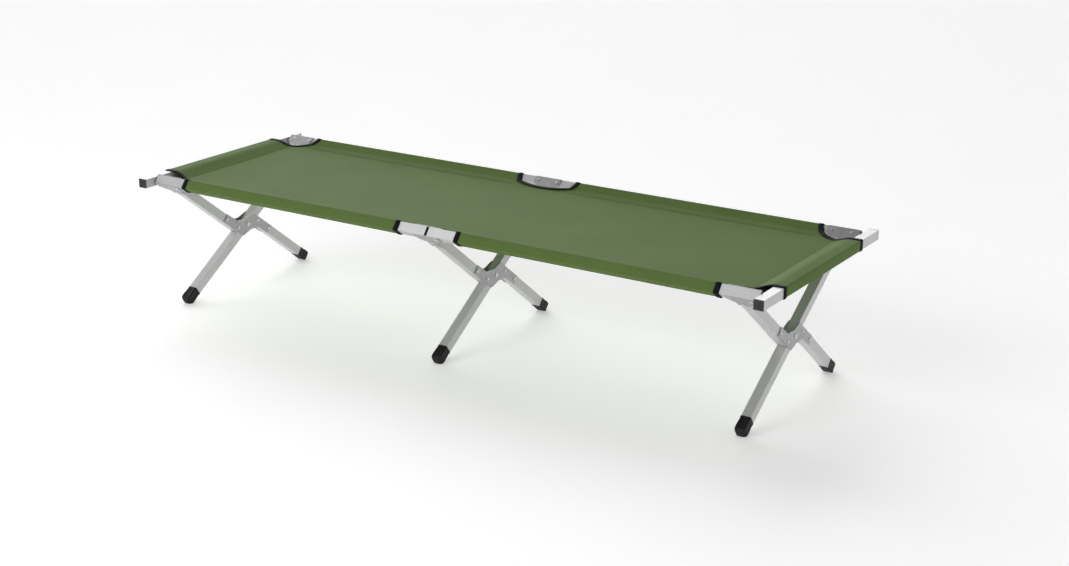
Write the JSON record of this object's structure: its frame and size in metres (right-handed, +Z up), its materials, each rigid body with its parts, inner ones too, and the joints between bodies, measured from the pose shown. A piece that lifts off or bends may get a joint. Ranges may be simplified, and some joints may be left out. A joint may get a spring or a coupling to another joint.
{
  "type": "folding cot",
  "caption": "Low folding camp cot: split square-tube rails on crossed legs, pull-off end bars and a stretched fabric cover with edge cut-outs.",
  "frame": {"origin": "centre of the cot's length and width, on the floor", "axes": "+X from the head end to the foot end, +Y from the near rail to the far rail, +Z up"},
  "size_m": [1.9022, 0.668, 0.3786],
  "materials": {
    "tube": "satin",
    "bracket": "zinc plated",
    "fastener": "satin",
    "plug": "matte",
    "shoe": "matte",
    "cover": "woven",
    "binding": "woven"
  },
  "bodies": {
    "far_frame": {"far_rail_head": "tube", "far_rail_foot": "tube", "far_rail_plugs": "plug", "far_rail_studs": "fastener", "far_mid_bracket_upper": "bracket", "far_mid_bracket_lower": "bracket", "far_end_bracket_head": "bracket", "far_end_bracket_foot": "bracket", "far_rail_rivets": "fastener", "far_leg_pins": "fastener", "long_leg_head": "tube", "long_leg_mid": "tube", "long_leg_foot": "tube", "long_shoe_head": "shoe", "long_shoe_mid": "shoe", "long_shoe_foot": "shoe", "cover_panel": "cover", "far_sleeve_head": "cover", "far_sleeve_foot": "cover", "near_sleeve_head": "cover", "near_sleeve_foot": "cover", "head_pocket": "cover", "foot_pocket": "cover", "cover_bindings": "binding"},
    "near_frame": {"near_rail_head": "tube", "near_rail_foot": "tube", "near_rail_plugs": "plug", "near_rail_studs": "fastener", "near_mid_bracket_upper": "bracket", "near_mid_bracket_lower": "bracket", "near_end_bracket_head": "bracket", "near_end_bracket_foot": "bracket", "near_rail_rivets": "fastener", "near_leg_pins": "fastener", "upper_leg_head": "tube", "upper_leg_mid": "tube", "upper_leg_foot": "tube", "lower_leg_head": "tube", "lower_leg_mid": "tube", "lower_leg_foot": "tube", "lower_shoe_head": "shoe", "lower_shoe_mid": "shoe", "lower_shoe_foot": "shoe", "cross_plate_head_outer": "bracket", "cross_plate_head_inner": "bracket", "cross_plate_mid_head": "bracket", "cross_plate_mid_foot": "bracket", "cross_plate_foot_inner": "bracket", "cross_plate_foot_outer": "bracket", "cross_rivets": "fastener", "pivot_pins": "fastener"},
    "head_bar": {"head_end_bar": "tube", "head_bar_plugs": "plug"},
    "foot_bar": {"foot_end_bar": "tube", "foot_bar_plugs": "plug"}
  },
  "joints": [
    {"name": "frame_fold", "type": "hinge", "parent": "far_frame", "child": "near_frame", "pos_m": [0, 0, 0.17507], "axis": [-1, 0, 0], "range_deg": [0, 104], "deforming": ["cover_panel", "near_sleeve_head", "near_sleeve_foot", "cover_bindings"]},
    {"name": "head_bar_pull", "type": "slide", "parent": "far_frame", "child": "head_bar", "axis": [-1, 0, 0], "range_m": [0, 0.2], "deforming": ["head_pocket"]},
    {"name": "foot_bar_pull", "type": "slide", "parent": "far_frame", "child": "foot_bar", "axis": [1, 0, 0], "range_m": [0, 0.2], "deforming": ["foot_pocket"]}
  ],
  "couplings": [
    {"joint": "head_bar_pull", "follows": "frame_fold", "m_per_rad": 0.11},
    {"joint": "foot_bar_pull", "follows": "frame_fold", "m_per_rad": 0.11}
  ]
}
